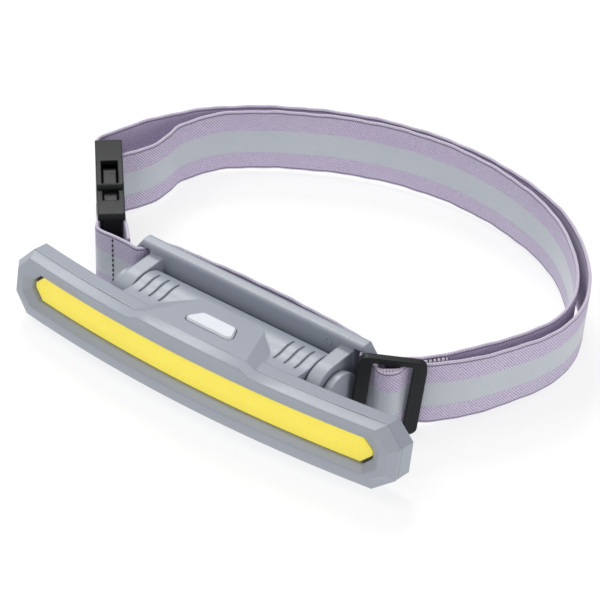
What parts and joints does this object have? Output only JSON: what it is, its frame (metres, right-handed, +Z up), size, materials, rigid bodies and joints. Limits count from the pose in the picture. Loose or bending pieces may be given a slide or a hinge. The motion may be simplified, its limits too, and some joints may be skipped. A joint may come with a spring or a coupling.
{
  "type": "headlamp",
  "caption": "Headlamp with a wide curved light bar, a tilting head on a bracket, a top button and a doubled elastic headband with a side-release buckle.",
  "frame": {"origin": "middle of the bracket plate's lower edge, halfway through its thickness", "axes": "+X along the light bar, +Y from the lamp towards the wearer's head and the back of the band, +Z up, across the band's width"},
  "size_m": [0.152, 0.1251, 0.025],
  "materials": {
    "shell": "fine satin, blue grey",
    "lens": "clear polycarbonate",
    "gasket": "soft, matt",
    "strip": "yellow phosphor gel, slightly glossy",
    "led_board": "white solder mask over aluminium",
    "cell": "foil pouch",
    "foam": "foam, matt",
    "board": "green solder mask",
    "switch": "moulded",
    "indicator": "clear",
    "button": "frosted, lets light through",
    "usb_shell": "bright nickel",
    "flap": "silicone, matt",
    "pin": "moulded",
    "washer": "smooth",
    "screws": "plated",
    "black_plastic": "smooth, soft sheen",
    "webbing": "ribbed elastic webbing with a grey stripe",
    "heat_spreader": "extruded, plain"
  },
  "bodies": {
    "bracket": {"bracket": "shell", "slider": "black_plastic", "buckle_plug": "black_plastic", "band_lamp_run": "webbing", "band_plug_loop": "webbing", "band_outer_end": "webbing", "band_inner_end": "webbing", "band_outer": "webbing", "band_inner": "webbing", "band_slider_loop": "webbing"},
    "head": {"rear_housing": "shell", "bezel": "shell", "lens": "lens", "lens_gasket": "gasket", "light_strip": "strip", "led_board": "led_board", "battery": "cell", "battery_foam": "foam", "main_board": "board", "tact_switch": "switch", "indicator_led": "indicator", "charge_board": "board", "usb_socket": "usb_shell", "hinge_pin_left": "pin", "hinge_pin_right": "pin", "friction_washers": "washer", "housing_screws": "screws", "heat_spreader": "heat_spreader"},
    "button": {"power_button": "button"},
    "flap": {"usb_flap": "flap"},
    "prong_upper": {"prong_upper": "black_plastic"},
    "prong_lower": {"prong_lower": "black_plastic"},
    "socket": {"buckle_socket": "black_plastic", "band_socket_turn": "webbing"}
  },
  "joints": [
    {"name": "head_tilt", "type": "hinge", "parent": "bracket", "child": "head", "pos_m": [0, -0.0103, 0.012], "axis": [1, 0, 0], "range_deg": [-15, 60]},
    {"name": "button_press", "type": "slide", "parent": "head", "child": "button", "axis": [0, -0.1564, -0.9877], "range_m": [0, 0.0004], "stiffness_N_per_m": 2000},
    {"name": "flap_open", "type": "hinge", "parent": "head", "child": "flap", "pos_m": [-0.0075, -0.02044, 0.0049], "axis": [0, 0.9877, -0.1564], "range_deg": [0, 100]},
    {"name": "buckle_release", "type": "slide", "parent": "bracket", "child": "socket", "axis": [-0.6691, 0.7431, 0], "range_m": [0, 0.016], "deforming": ["band_outer_end", "band_inner_end"]},
    {"name": "prong_upper_flex", "type": "hinge", "parent": "bracket", "child": "prong_upper", "pos_m": [-0.05722, 0.00809, 0.0204], "axis": [-0.7431, -0.6691, 0], "range_deg": [0, 11]},
    {"name": "prong_lower_flex", "type": "hinge", "parent": "bracket", "child": "prong_lower", "pos_m": [-0.05722, 0.00809, 0.0036], "axis": [-0.7431, -0.6691, 0], "range_deg": [-11, 0]}
  ],
  "couplings": [
    {"joint": "prong_upper_flex", "follows": "buckle_release", "rad_per_m": 11},
    {"joint": "prong_lower_flex", "follows": "buckle_release", "rad_per_m": -11}
  ]
}
